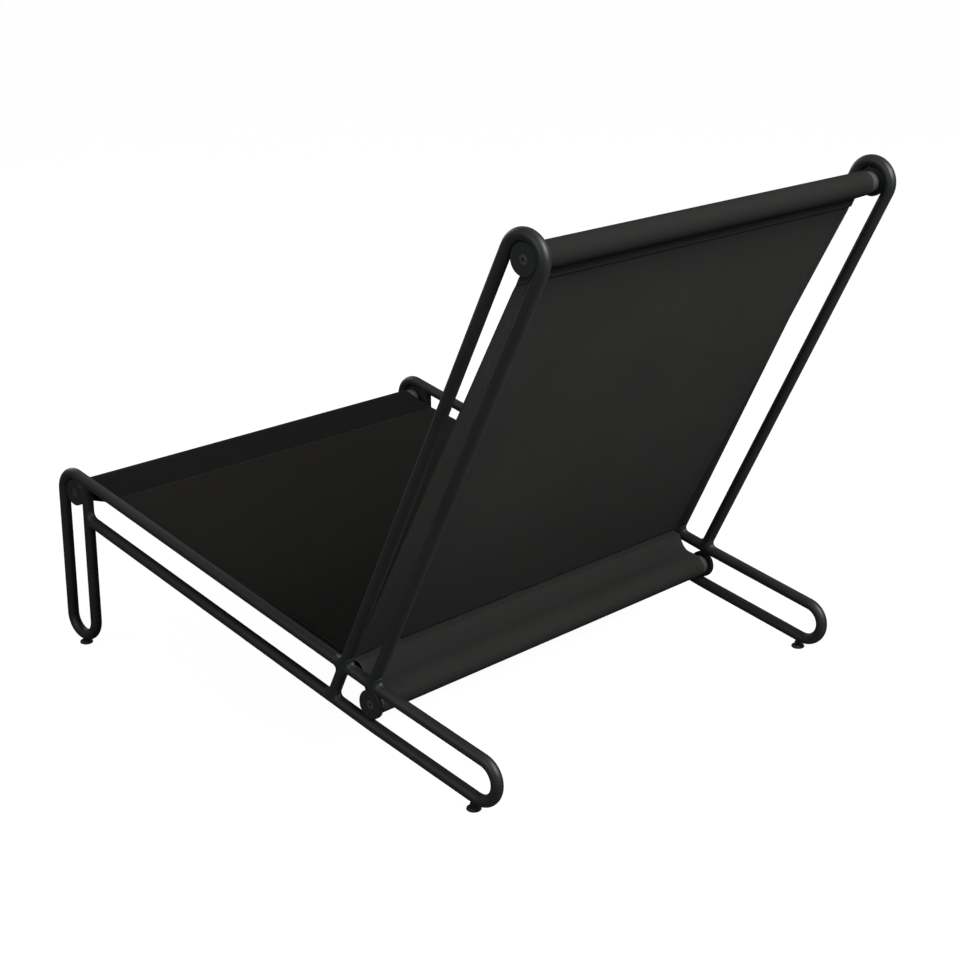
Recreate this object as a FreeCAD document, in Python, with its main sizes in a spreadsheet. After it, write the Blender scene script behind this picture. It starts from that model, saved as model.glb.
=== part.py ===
"""Low sling lounge chair: two bent-rod side frames, three cross tubes, a sewn sling and four levelling glides.

Frame: the sitter faces -Y, +X is the sitter's left, +Z is up, and the floor is Z = 0.
The origin is the middle of the footprint, on the floor. Every length is in millimetres, every angle in degrees.
"""
import FreeCAD, Part
import math
import os

import Sketcher

# ---------------------------------------------------------------- driving sizes
SIZES = [
    # side frames
    ("half_track", 342.5),          # centre plane of the chair to the plane of a side frame
    ("rod_dia", 16.0),              # every frame rod
    ("bend_radius", 27.5),          # centre-line radius of the hairpins and of the front corner
    ("front_disc_y", -428.7),       # centre of the front corner, straight above the front leg
    ("front_disc_z", 231.7),
    ("front_foot_rise", 6.0),       # floor to the underside of the front leg's bend
    ("seat_pitch", 13.7),           # slope of the seat rails, falling to the rear
    ("runner_pitch", 12.35),        # slope of the rails behind the back
    ("rail_bend_gap", 8.8),         # from the back's rear rod to where the rails change slope
    ("rail_bend_radius", 400.0),    # upper rail's radius there
    ("rear_bend_y", 359.0),         # centre of the rails' rear hairpin
    # back frames
    ("top_disc_y", 428.7),          # centre of the back's top hairpin
    ("top_disc_z", 683.6),
    ("back_front_y", 126.1),        # where the back's front rod meets the upper rail
    ("back_rear_y", 177.2),         # where the back's rear rod meets the upper rail
    ("lower_disc_y", 173.0),        # disc between the two rails, midway between them
    # welds
    ("weld_gap", 0.05),             # room left between a coped rod end and the rod it sits on
    ("weld_size", 2.4),             # throat of a weld bead
    # discs, screws and cross tubes
    ("disc_thickness", 6.0),        # half of it to each side of the side frame's plane
    ("disc_gap", 0.05),             # disc rim to the rods around it
    ("disc_chamfer", 0.8),
    ("tube_dia", 28.0),
    ("tube_wall", 2.0),
    ("tube_gap", 1.5),              # tube end to disc, bridged by the plug
    ("insert_length", 16.0),        # threaded plug in each tube end
    ("insert_clearance", 0.05),     # radial, plug in tube
    ("face_gap", 0.02),             # plug face to disc
    ("screw_dia", 6.0),
    ("screw_clearance", 0.2),       # radial, in the disc
    ("thread_clearance", 0.05),     # radial, in a threaded hole
    ("screw_length", 20.0),
    ("screw_head_dia", 12.0),
    ("screw_head_sink", 0.4),       # head below the disc's face
    ("screw_head_edge", 0.5),       # straight rim of the countersunk head
    ("socket_across_flats", 4.0),
    ("socket_depth", 2.4),
    # sling
    ("panel_side_gap", 6.5),        # panel's side edge to the rods
    ("sleeve_end_gap", 13.5),       # sleeve's end to the disc
    ("crease_side_gap", 10.5),      # end of the crease seam to the rods
    ("cloth_thickness", 1.6),
    ("sleeve_clearance", 0.1),      # radial, between a sleeve and its tube
    ("front_flap", 60.0),           # tube axis to the end of the sleeve, along the panel
    ("top_flap", 39.0),
    ("lower_flap", 30.0),
    ("flap_overlap", 4.0),          # the sleeve's two plies sewn together
    ("panel_offset", 4.0),          # panel to the tube's axis, on the sitter's side
    ("crease_forward", 44.2),       # seam where seat, back and tie band meet, from the lower tube's axis
    ("crease_rise", 46.5),
    ("seam_dia", 4.4),
    ("seam_gap", 0.02),
    # glides
    ("rear_foot_inset", 10.7),      # rear glide ahead of the rear hairpin's centre
    ("glide_dia", 19.0),
    ("glide_thickness", 4.5),
    ("glide_edge", 1.2),
    ("glide_floor", 2.0),           # rubber under the end of the stud
    ("glide_play", 0.05),           # running gap between stud and pad
    ("stud_dia", 6.0),
    ("collar_dia", 10.0),
    ("collar_thickness", 1.2),
    ("collar_gap", 0.02),           # collar to the rod it stops against
    ("flange_dia", 9.0),            # stud's foot, held inside the pad
    ("flange_thickness", 1.2),
    ("stud_engagement", 11.0),      # stud inside the rod
    ("stud_hole_spare", 1.5),       # tapped hole beyond the end of the stud
]

doc = FreeCAD.newDocument("SlingLounger")
sheet = doc.addObject("Spreadsheet::Sheet", "Sizes")
for row, (alias, number) in enumerate(SIZES, start=1):
    sheet.set(f"A{row}", alias)
    sheet.set(f"B{row}", str(number))
    sheet.setAlias(f"B{row}", alias)
doc.recompute()

V = FreeCAD.Vector
SUBPARTS = []


def size(alias):
    """The number that the sheet holds under this alias."""
    return float(sheet.get(alias))


def bind(thing, prop, formula):
    """Bind a property to a formula in which $alias stands for a cell of the sheet."""
    thing.setExpression(prop, formula.replace("$", "Sizes."))


def place(thing, x=None, y=None, z=None):
    """Bind the place of an object to formulas."""
    for axis, formula in (("x", x), ("y", y), ("z", z)):
        if formula is not None:
            bind(thing, f"Placement.Base.{axis}", formula)


def turn(thing, axis, formula):
    """Turn an object about an axis by a bound angle."""
    thing.Placement = FreeCAD.Placement(thing.Placement.Base, FreeCAD.Rotation(V(*axis), 1.0))
    bind(thing, "Placement.Rotation.Angle", formula)


def subpart(thing, label):
    """Register an object as a sub-part; the label names its file."""
    thing.Label = label
    SUBPARTS.append(thing)
    return thing


# ---------------------------------------------------------------- formulas shared by several sub-parts
RAIL_BEND_Y = "($back_rear_y + $rail_bend_gap)"
REAR_FOOT_Y = "($rear_bend_y - $rear_foot_inset)"
# Heights of the rails' centre lines at a place y along the chair.
RAIL_START_Y = "($front_disc_y + $bend_radius * sin($seat_pitch))"
RAIL_START_Z = "($front_disc_z + $bend_radius * cos($seat_pitch))"
LEG_REAR_Y = "($front_disc_y + $bend_radius)"
LEG_BEND_Z = "($front_foot_rise + $rod_dia / 2 + $bend_radius)"
# The rails' change of slope is an arc about this centre, high above them.
BEND_CENTRE_Y = f"({RAIL_BEND_Y} + $rail_bend_radius * sin($seat_pitch))"
BEND_CENTRE_Z = (
    "($front_disc_z + ($bend_radius + $rail_bend_radius) / cos($seat_pitch)"
    f" - ({BEND_CENTRE_Y} - $front_disc_y) * tan($seat_pitch))"
)
RUNNER_UNDERSIDE = (
    f"({BEND_CENTRE_Z} - ($rail_bend_radius + 2 * $bend_radius + $rod_dia / 2) / cos($runner_pitch)"
    f" - ({REAR_FOOT_Y} - {BEND_CENTRE_Y}) * tan($runner_pitch))"
)
# Each foot: its place, the rod's underside above the floor, and the height of the stud's collar.
FEET = {
    "front": {
        "y": "$front_disc_y",
        "rise": "$front_foot_rise",
        "collar": "($front_foot_rise - $collar_gap)",
    },
    "rear": {
        "y": REAR_FOOT_Y,
        "rise": RUNNER_UNDERSIDE,
        "collar": f"({RUNNER_UNDERSIDE} - $collar_dia / 2 * tan($runner_pitch) - $collar_gap)",
    },
}


def upper_rail_z(y):
    return f"({RAIL_START_Z} - ({y} - {RAIL_START_Y}) * tan($seat_pitch))"


def lower_rail_z(y):
    return f"({upper_rail_z(y)} - 2 * $bend_radius / cos($seat_pitch))"


LOWER_DISC_Z = f"({upper_rail_z('$lower_disc_y')} - $bend_radius / cos($seat_pitch))"
AXLES = {
    "front": ("$front_disc_y", "$front_disc_z"),
    "top": ("$top_disc_y", "$top_disc_z"),
    "lower": ("$lower_disc_y", LOWER_DISC_Z),
}
SIDES = {"left": 1, "right": -1}


def number(formula):
    """The value of a formula, for the first guess of a sketch."""
    text = formula
    for alias, _ in sorted(SIZES, key=lambda item: -len(item[0])):
        text = text.replace("$" + alias, f"Sizes.{alias}")
    return float(sheet.evalExpression(text))


# ---------------------------------------------------------------- drawing helpers
def new_body(label):
    body = doc.addObject("PartDesign::Body", label)
    return subpart(body, label)


def origin_plane(body, role):
    return next(item for item in body.Origin.OriginFeatures if item.Role == role)


def new_sketch(body, role, name):
    sketch = body.newObject("Sketcher::SketchObject", f"{body.Name}_{name}")
    sketch.AttachmentSupport = [(origin_plane(body, role), "")]
    sketch.MapMode = "FlatFace"
    return sketch


def dimension(sketch, kind, geometry, name, formula):
    """Add a named dimension to a sketch and bind it to a formula."""
    index = sketch.addConstraint(Sketcher.Constraint(kind, *geometry, number(formula)))
    sketch.renameConstraint(index, name)
    bind(sketch, f"Constraints.{name}", formula)


def angle_dimension(sketch, line, name, formula):
    """Fix the direction of a line, in degrees from the sketch's first axis."""
    value = math.radians(number(formula))
    index = sketch.addConstraint(Sketcher.Constraint("Angle", line, value))
    sketch.renameConstraint(index, name)
    bind(sketch, f"Constraints.{name}", f"({formula}) * 1 deg")


def circle(sketch, name, radius, across="0", up="0"):
    """A circle whose centre and radius are bound."""
    centre = V(number(across), number(up), 0)
    index = sketch.addGeometry(Part.Circle(centre, V(0, 0, 1), number(radius)), False)
    dimension(sketch, "Radius", (index,), f"{name}_radius", radius)
    for kind, formula, tag in (("DistanceX", across, "across"), ("DistanceY", up, "up")):
        if formula == "0":
            target = -2 if kind == "DistanceX" else -1
            sketch.addConstraint(Sketcher.Constraint("PointOnObject", index, 3, target))
        else:
            dimension(sketch, kind, (index, 3), f"{name}_{tag}", formula)
    return index


def polygon(sketch, corners):
    """A closed outline; each corner is (name, across, up) with bound coordinates."""
    points = [V(number(across), number(up), 0) for _, across, up in corners]
    count = len(corners)
    for k in range(count):
        sketch.addGeometry(Part.LineSegment(points[k], points[(k + 1) % count]), False)
    for k in range(count):
        sketch.addConstraint(Sketcher.Constraint("Coincident", k, 2, (k + 1) % count, 1))
    for k, (name, across, up) in enumerate(corners):
        dimension(sketch, "DistanceX", (k, 1), f"{name}_across", across)
        dimension(sketch, "DistanceY", (k, 1), f"{name}_up", up)


def pad(body, sketch, formula, name, midplane=False):
    feature = body.newObject("PartDesign::Pad", f"{body.Name}_{name}")
    feature.Profile = sketch
    feature.Midplane = midplane
    bind(feature, "Length", formula)
    return feature


def revolve(body, sketch, axis, name):
    feature = body.newObject("PartDesign::Revolution", f"{body.Name}_{name}")
    feature.Profile = sketch
    feature.ReferenceAxis = (sketch, [axis])
    feature.Angle = 360.0
    return feature


def cylinder(name, radius, length, base, axis_turn):
    """A Part cylinder: bound radius, length and base (x, y, z), turned about -X by a bound angle."""
    item = doc.addObject("Part::Cylinder", name)
    bind(item, "Radius", radius)
    bind(item, "Height", length)
    turn(item, (-1, 0, 0), axis_turn)
    place(item, *base)
    return item


def fused(name, items):
    item = doc.addObject("Part::MultiFuse", name)
    item.Shapes = items
    return item


# ---------------------------------------------------------------- side frames
def tangent_chain(sketch, joints):
    """Join curve ends smoothly: each joint is (curve, end, next curve, its end)."""
    for first, first_end, second, second_end in joints:
        sketch.addConstraint(Sketcher.Constraint("Tangent", first, first_end, second, second_end))


def arc(centre, radius, start, end):
    """Arc of a circle, anticlockwise from start to end, in degrees."""
    full = Part.Circle(V(centre[0], centre[1], 0), V(0, 0, 1), radius)
    return Part.ArcOfCircle(full, math.radians(start), math.radians(end))


def frame_path(sketch):
    """Centre line of the base rod, from the leg's bend forward, over the seat rail and back under it."""
    radius = size("bend_radius")
    bend = size("rail_bend_radius")
    pitch = size("seat_pitch")
    slope = size("runner_pitch")
    leg_y = size("front_disc_y")
    leg_z = number(LEG_BEND_Z)
    disc_z = size("front_disc_z")

    def along(point, degrees, length):
        turned = math.radians(degrees)
        return (point[0] + length * math.cos(turned), point[1] + length * math.sin(turned))

    def line(first, second):
        return Part.LineSegment(V(*first, 0), V(*second, 0))

    corner = (leg_y, disc_z)
    rail_start = along(corner, 90 - pitch, radius)
    reach = (number(RAIL_BEND_Y) - rail_start[0]) / math.cos(math.radians(pitch))
    bend_start = along(rail_start, -pitch, reach)
    bend_centre = along(bend_start, 90 - pitch, bend)
    bend_end = along(bend_centre, 270 - slope, bend)
    rear_y = size("rear_bend_y")
    run = (rear_y + radius * math.sin(math.radians(slope)) - bend_end[0]) / math.cos(math.radians(slope))
    rear_top = along(bend_end, -slope, run)
    rear_centre = along(rear_top, 270 - slope, radius)
    rear_low = along(rear_centre, 270 - slope, radius)
    low_bend = bend + 2 * radius
    low_end = along(bend_centre, 270 - slope, low_bend)
    low_start = along(bend_centre, 270 - pitch, low_bend)
    low_reach = (low_start[0] - leg_y - radius) / math.cos(math.radians(pitch))
    low_front = along(low_start, 180 - pitch, low_reach)

    curves = [
        arc((leg_y, leg_z), radius, 180, 360),
        line((leg_y - radius, leg_z), (leg_y - radius, disc_z)),
        arc(corner, radius, 90 - pitch, 180),
        line(bend_start, rail_start),
        arc(bend_centre, bend, 270 - pitch, 270 - slope),
        line(rear_top, bend_end),
        arc(rear_centre, radius, -90 - slope, 90 - slope),
        line(rear_low, low_end),
        arc(bend_centre, low_bend, 270 - pitch, 270 - slope),
        line(low_start, low_front),
    ]
    sketch.addGeometry(curves, False)
    leg, front, corner_arc, seat, bend_arc, runner, rear, low_runner, low_arc, low_seat = range(10)
    tangent_chain(sketch, [
        (leg, 1, front, 1),
        (front, 2, corner_arc, 2),
        (corner_arc, 1, seat, 2),
        (seat, 1, bend_arc, 1),
        (bend_arc, 2, runner, 2),
        (runner, 1, rear, 2),
        (rear, 1, low_runner, 1),
        (low_runner, 2, low_arc, 2),
        (low_arc, 1, low_seat, 1),
    ])
    for index, name in ((leg, "leg"), (corner_arc, "corner"), (rear, "rear")):
        dimension(sketch, "Radius", (index,), f"{name}_radius", "$bend_radius")
    dimension(sketch, "Radius", (bend_arc,), "rail_radius", "$rail_bend_radius")
    dimension(sketch, "Radius", (low_arc,), "low_rail_radius", "$rail_bend_radius + 2 * $bend_radius")
    sketch.addConstraint(Sketcher.Constraint("Coincident", bend_arc, 3, low_arc, 3))
    dimension(sketch, "DistanceX", (leg, 3), "leg_across", "$front_disc_y")
    dimension(sketch, "DistanceY", (leg, 3), "leg_up", LEG_BEND_Z)
    dimension(sketch, "DistanceY", (leg, 2), "leg_end_up", LEG_BEND_Z)
    sketch.addConstraint(Sketcher.Constraint("Vertical", leg, 3, corner_arc, 3))
    dimension(sketch, "DistanceY", (corner_arc, 3), "disc_up", "$front_disc_z")
    angle_dimension(sketch, seat, "seat_angle", "180 - $seat_pitch")
    dimension(sketch, "DistanceX", (bend_arc, 3), "bend_across", BEND_CENTRE_Y)
    angle_dimension(sketch, runner, "runner_angle", "180 - $runner_pitch")
    dimension(sketch, "DistanceX", (rear, 3), "rear_across", "$rear_bend_y")
    sketch.addConstraint(Sketcher.Constraint("Parallel", seat, low_seat))
    dimension(sketch, "DistanceX", (low_seat, 2), "low_front_across", LEG_REAR_Y)


def base_rod(side, sign):
    """The bent rod that is leg, seat rail and runner, with the leg's rear rod welded up under the rail."""
    body = new_body(f"frame_rod_{side}")
    path = new_sketch(body, "YZ_Plane", "path")
    frame_path(path)
    section = new_sketch(body, "XY_Plane", "section")
    bind(section, "AttachmentOffset.Base.z", LEG_BEND_Z)
    circle(section, "rod", "$rod_dia / 2", up=LEG_REAR_Y)
    pipe = body.newObject("PartDesign::AdditivePipe", f"{body.Name}_rod")
    pipe.Profile = section
    pipe.Spine = (path, [])
    pad(body, section, f"{upper_rail_z(LEG_REAR_Y)} - {LEG_BEND_Z}", "rear_leg")
    for end, foot in FEET.items():
        hole = new_sketch(body, "XY_Plane", f"{end}_hole")
        circle(hole, "stud", "$stud_dia / 2 + $thread_clearance", up=foot["y"])
        pocket = body.newObject("PartDesign::Pocket", f"{body.Name}_{end}_tapping")
        pocket.Profile = hole
        pocket.Reversed = True
        bind(pocket, "Length", f"{foot['rise']} + $stud_engagement + $stud_hole_spare")
        body.Tip = pocket
    place(body, x=f"{sign} * $half_track")




def back_path(sketch):
    """Centre line of the back's hairpin: up the front rod, over the top disc and down the rear rod."""
    centre = (size("top_disc_y"), size("top_disc_z"))
    radius = size("bend_radius")
    feet = []
    for alias in ("$back_front_y", "$back_rear_y"):
        feet.append((number(alias), number(upper_rail_z(alias))))

    def touch(foot, side):
        """Where the tangent from a foot meets the top circle; side is -1 in front, +1 behind."""
        gap = math.hypot(foot[0] - centre[0], foot[1] - centre[1])
        toward = math.atan2(foot[1] - centre[1], foot[0] - centre[0])
        turned = toward + side * math.acos(radius / gap)
        return (centre[0] + radius * math.cos(turned), centre[1] + radius * math.sin(turned)), turned

    front_touch, front_turn = touch(feet[0], -1)
    rear_touch, rear_turn = touch(feet[1], 1)
    sketch.addGeometry(Part.LineSegment(V(*feet[0], 0), V(*front_touch, 0)), False)
    sketch.addGeometry(arc(centre, radius, math.degrees(rear_turn), math.degrees(front_turn) + 360), False)
    sketch.addGeometry(Part.LineSegment(V(*rear_touch, 0), V(*feet[1], 0)), False)
    tangent_chain(sketch, [(0, 2, 1, 2), (1, 1, 2, 1)])
    dimension(sketch, "Radius", (1,), "top_radius", "$bend_radius")
    dimension(sketch, "DistanceX", (1, 3), "top_across", "$top_disc_y")
    dimension(sketch, "DistanceY", (1, 3), "top_up", "$top_disc_z")
    dimension(sketch, "DistanceX", (0, 1), "front_across", "$back_front_y")
    dimension(sketch, "DistanceY", (0, 1), "front_up", upper_rail_z("$back_front_y"))
    dimension(sketch, "DistanceX", (2, 2), "rear_across", "$back_rear_y")
    dimension(sketch, "DistanceY", (2, 2), "rear_up", upper_rail_z("$back_rear_y"))


def rail_cylinder(name, sign, radius, rail_z, y, length="6 * $rod_dia"):
    """A cylinder on a rail's centre line, centred at y, to cope a rod end or shape a weld."""
    base = (
        f"{sign} * $half_track",
        f"{y} - {length} / 2 * cos($seat_pitch)",
        f"{rail_z(y)} + {length} / 2 * sin($seat_pitch)",
    )
    return cylinder(name, radius, length, base, "90 + $seat_pitch")


def lean_of(dy, dz):
    """Lean from upright, as a plain number of degrees, of a line that rises dz while it runs back dy."""
    return f"(atan2({dy}; {dz}) / 1 deg)"


def tangent_angle(radius, distance):
    """Plain number of degrees between a line to a circle's centre and a tangent from the same point."""
    return f"(asin({radius} / {distance}) / 1 deg)"


def back_rod_lean(alias, side):
    """Lean of a back rod: its line touches the top hairpin's centre line in front (-1) or behind (+1)."""
    dy = f"($top_disc_y - {alias})"
    dz = f"($top_disc_z - {upper_rail_z(alias)})"
    sign = "+" if side > 0 else "-"
    return f"({lean_of(dy, dz)} {sign} {tangent_angle('$bend_radius', f'hypot({dy}; {dz})')})"


FRONT_LEAN = back_rod_lean("$back_front_y", -1)
REAR_LEAN = back_rod_lean("$back_rear_y", 1)


def back_rod(side, sign):
    """The back's hairpin, its two ends coped to sit on the upper rail."""
    body = doc.addObject("PartDesign::Body", f"back_hairpin_{side}")
    path = new_sketch(body, "YZ_Plane", "path")
    back_path(path)
    doc.recompute()
    section = body.newObject("Sketcher::SketchObject", f"{body.Name}_section")
    section.AttachmentSupport = [(path, "Edge1")]
    section.MapMode = "NormalToEdge"
    section.MapPathParameter = 0.0
    circle(section, "rod", "$rod_dia / 2")
    pipe = body.newObject("PartDesign::AdditivePipe", f"{body.Name}_rod")
    pipe.Profile = section
    pipe.Spine = (path, [])
    place(body, x=f"{sign} * $half_track")
    middle = "($back_front_y + $back_rear_y) / 2"
    cope = rail_cylinder(
        f"back_cope_{side}", sign, "$rod_dia / 2 + $weld_gap", upper_rail_z, middle, "8 * $rod_dia"
    )
    coped = doc.addObject("Part::Cut", f"back_rod_{side}")
    coped.Base = body
    coped.Tool = cope
    subpart(coped, f"back_rod_{side}")


for side, sign in SIDES.items():
    base_rod(side, sign)
    back_rod(side, sign)


# ---------------------------------------------------------------- struts and welds
STRUT_LENGTH = "(2 * $bend_radius / cos(" + FRONT_LEAN + " - $seat_pitch))"
STRUT_FOOT_Y = f"($back_front_y - {STRUT_LENGTH} * sin({FRONT_LEAN}))"
STRUT_FOOT_Z = f"({upper_rail_z('$back_front_y')} - {STRUT_LENGTH} * cos({FRONT_LEAN}))"


def strut(side, sign):
    """Short rod between the two rails, in line with the back's front rod, coped at both ends."""
    start = (f"{sign} * $half_track", STRUT_FOOT_Y, STRUT_FOOT_Z)
    blank = cylinder(f"strut_blank_{side}", "$rod_dia / 2", STRUT_LENGTH, start, FRONT_LEAN)
    cope = "$rod_dia / 2 + $weld_gap"
    rails = fused(f"strut_copes_{side}", [
        rail_cylinder(f"strut_cope_low_{side}", sign, cope, lower_rail_z, STRUT_FOOT_Y),
        rail_cylinder(f"strut_cope_up_{side}", sign, cope, upper_rail_z, "$back_front_y"),
    ])
    coped = doc.addObject("Part::Cut", f"back_strut_{side}")
    coped.Base = blank
    coped.Tool = rails
    subpart(coped, f"back_strut_{side}")


def weld(name, thick, thin):
    """A bead round a joint: what two swollen rods share, less the two rods."""
    shared = doc.addObject("Part::MultiCommon", f"{name}_swollen")
    shared.Shapes = thick
    bead = doc.addObject("Part::Cut", name)
    bead.Base = shared
    bead.Tool = fused(f"{name}_rods", thin)
    return bead


def welds(side, sign):
    """The beads of one side frame: back rods and strut on the rails, and the leg's two joints."""
    swollen = "$rod_dia / 2 + $weld_size"
    plain = "$rod_dia / 2"
    x = f"{sign} * $half_track"
    skip = "0.35 * $rod_dia / 2"
    reach = "2 * $rod_dia"
    beads = []

    def add(tag, first, second):
        name = f"weld_{tag}_{side}"
        thick = [first(f"{name}_a", swollen), second(f"{name}_b", swollen)]
        thin = [first(f"{name}_c", plain), second(f"{name}_d", plain)]
        beads.append(weld(name, thick, thin))

    def rail(rail_z, y):
        return lambda name, radius: rail_cylinder(name, sign, radius, rail_z, y, "4 * $rod_dia")

    def line(y, z, lean, start, length):
        base = (x, f"{y} + {start} * sin({lean})", f"{z} + {start} * cos({lean})")
        return lambda name, radius: cylinder(name, radius, length, base, lean)

    front_line = line(STRUT_FOOT_Y, STRUT_FOOT_Z, FRONT_LEAN, skip, f"{STRUT_LENGTH} + {reach}")
    add("back_front", rail(upper_rail_z, "$back_front_y"), front_line)
    add("strut_foot", rail(lower_rail_z, STRUT_FOOT_Y), front_line)
    rear_line = line("$back_rear_y", upper_rail_z("$back_rear_y"), REAR_LEAN, skip, reach)
    add("back_rear", rail(upper_rail_z, "$back_rear_y"), rear_line)
    leg_line = line(LEG_REAR_Y, upper_rail_z(LEG_REAR_Y), "180", skip, reach)
    add("leg_top", rail(upper_rail_z, LEG_REAR_Y), leg_line)
    leg_side = line(LEG_REAR_Y, f"({lower_rail_z(LEG_REAR_Y)} - {reach})", "0", "0", f"2 * {reach}")
    low_rail = line(LEG_REAR_Y, lower_rail_z(LEG_REAR_Y), "(90 + $seat_pitch)", skip, reach)
    add("rail_front", leg_side, low_rail)
    subpart(fused(f"welds_{side}", beads), f"welds_{side}")


for side, sign in SIDES.items():
    strut(side, sign)
    welds(side, sign)


# ---------------------------------------------------------------- discs, screws, tubes and plugs
DISC_BACK = "($half_track - $disc_thickness / 2)"
DISC_FACE = "($half_track + $disc_thickness / 2)"
TUBE_END = f"({DISC_BACK} - $tube_gap)"
HEAD_FACE = f"({DISC_FACE} - $screw_head_sink)"
CONE_START = f"({HEAD_FACE} - $screw_head_edge)"
CONE_END = f"({CONE_START} - ($screw_head_dia - $screw_dia) / 2)"


def place_on_axle(body, axle, sign):
    """Put a body drawn for the left side on an axle, turned round for the right side."""
    y, z = AXLES[axle]
    if sign < 0:
        body.Placement = FreeCAD.Placement(V(0, 0, 0), FreeCAD.Rotation(V(0, 0, 1), 180.0))
    place(body, y=y, z=z)


def disc(axle, side, sign):
    """End plate of an axle: a chamfered disc with a countersunk hole."""
    body = new_body(f"{axle}_disc_{side}")
    profile = new_sketch(body, "XY_Plane", "profile")
    rim = "($bend_radius - $rod_dia / 2 - $disc_gap)"
    hole = "($screw_dia / 2 + $screw_clearance)"
    sink = "($screw_head_dia / 2 + $screw_clearance)"
    polygon(profile, [
        ("bore", DISC_BACK, hole),
        ("back", DISC_BACK, f"{rim} - $disc_chamfer"),
        ("back_rim", f"{DISC_BACK} + $disc_chamfer", rim),
        ("face_rim", f"{DISC_FACE} - $disc_chamfer", rim),
        ("face", DISC_FACE, f"{rim} - $disc_chamfer"),
        ("mouth", DISC_FACE, sink),
        ("cone_start", CONE_START, sink),
        ("cone_end", CONE_END, hole),
    ])
    revolve(body, profile, "H_Axis", "turned")
    place_on_axle(body, axle, sign)


def screw(axle, side, sign):
    """Countersunk screw with a six-sided socket."""
    body = new_body(f"{axle}_screw_{side}")
    profile = new_sketch(body, "XY_Plane", "profile")
    end = f"({HEAD_FACE} - $screw_length)"
    polygon(profile, [
        ("axis_end", end, "0"),
        ("shank_end", end, "$screw_dia / 2"),
        ("cone_end", CONE_END, "$screw_dia / 2"),
        ("cone_start", CONE_START, "$screw_head_dia / 2"),
        ("head", HEAD_FACE, "$screw_head_dia / 2"),
        ("axis_head", HEAD_FACE, "0"),
    ])
    turned = revolve(body, profile, "H_Axis", "turned")
    body.Tip = turned
    socket = new_sketch(body, "YZ_Plane", "socket")
    bind(socket, "AttachmentOffset.Base.z", HEAD_FACE)
    corner = "($socket_across_flats / 2 / cos(30))"
    polygon(socket, [
        (f"corner_{k}", f"{corner} * cos({60 * k})", f"{corner} * sin({60 * k})") for k in range(6)
    ])
    pocket = body.newObject("PartDesign::Pocket", f"{body.Name}_socket_cut")
    pocket.Profile = socket
    bind(pocket, "Length", "$socket_depth")
    place_on_axle(body, axle, sign)


def plug(axle, side, sign):
    """Threaded plug in a tube end; it stands out of the tube and carries the disc."""
    body = new_body(f"{axle}_insert_{side}")
    profile = new_sketch(body, "XY_Plane", "profile")
    face = f"({DISC_BACK} - $face_gap)"
    back = f"({face} - $insert_length)"
    outer = "($tube_dia / 2 - $tube_wall - $insert_clearance)"
    bore = "($screw_dia / 2 + $thread_clearance)"
    polygon(profile, [
        ("bore_back", back, bore),
        ("back", back, outer),
        ("face", face, outer),
        ("bore_face", face, bore),
    ])
    revolve(body, profile, "H_Axis", "turned")
    place_on_axle(body, axle, sign)


def tube(axle):
    """Cross tube, cut square between the discs."""
    body = new_body(f"{axle}_tube")
    ring = new_sketch(body, "YZ_Plane", "ring")
    circle(ring, "outer", "$tube_dia / 2")
    circle(ring, "inner", "$tube_dia / 2 - $tube_wall")
    pad(body, ring, f"2 * {TUBE_END}", "drawn", midplane=True)
    place(body, y=AXLES[axle][0], z=AXLES[axle][1])


for axle in AXLES:
    tube(axle)
    for side, sign in SIDES.items():
        disc(axle, side, sign)
        screw(axle, side, sign)
        plug(axle, side, sign)


# ---------------------------------------------------------------- glides
def glide(end, side, sign):
    """Screwed stud with a stop collar and a foot that turns inside a moulded pad."""
    foot = FEET[end]
    stud = new_body(f"{end}_stud_{side}")
    profile = new_sketch(stud, "XZ_Plane", "profile")
    radius = "$stud_dia / 2"
    flange_top = "($glide_floor + $flange_thickness)"
    collar_low = f"({foot['collar']} - $collar_thickness)"
    top = f"({foot['rise']} + $stud_engagement)"
    polygon(profile, [
        ("axis_low", "0", "$glide_floor"),
        ("flange_low", "$flange_dia / 2", "$glide_floor"),
        ("flange_high", "$flange_dia / 2", flange_top),
        ("neck_low", radius, flange_top),
        ("neck_high", radius, collar_low),
        ("collar_low", "$collar_dia / 2", collar_low),
        ("collar_high", "$collar_dia / 2", foot["collar"]),
        ("thread_low", radius, foot["collar"]),
        ("thread_high", radius, top),
        ("axis_high", "0", top),
    ])
    revolve(stud, profile, "V_Axis", "turned")
    place(stud, x=f"{sign} * $half_track", y=foot["y"])

    base = new_body(f"{end}_pad_{side}")
    outline = new_sketch(base, "XZ_Plane", "profile")
    rim = "$glide_dia / 2"
    room = "($flange_dia / 2 + $glide_play)"
    neck = "($stud_dia / 2 + $glide_play)"
    floor = "($glide_floor - $glide_play)"
    lip = f"({flange_top} + $glide_play)"
    polygon(outline, [
        ("axis_low", "0", "0"),
        ("sole", f"{rim} - $glide_edge", "0"),
        ("edge", rim, "$glide_edge"),
        ("wall", f"{rim} - 0.4 * $glide_edge", "$glide_thickness - $glide_edge"),
        ("shoulder", f"{rim} - 1.6 * $glide_edge", "$glide_thickness"),
        ("neck_high", neck, "$glide_thickness"),
        ("neck_low", neck, lip),
        ("room_high", room, lip),
        ("room_low", room, floor),
        ("axis_high", "0", floor),
    ])
    revolve(base, outline, "V_Axis", "moulded")
    place(base, x=f"{sign} * $half_track", y=foot["y"])


for end in FEET:
    for side, sign in SIDES.items():
        glide(end, side, sign)


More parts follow.
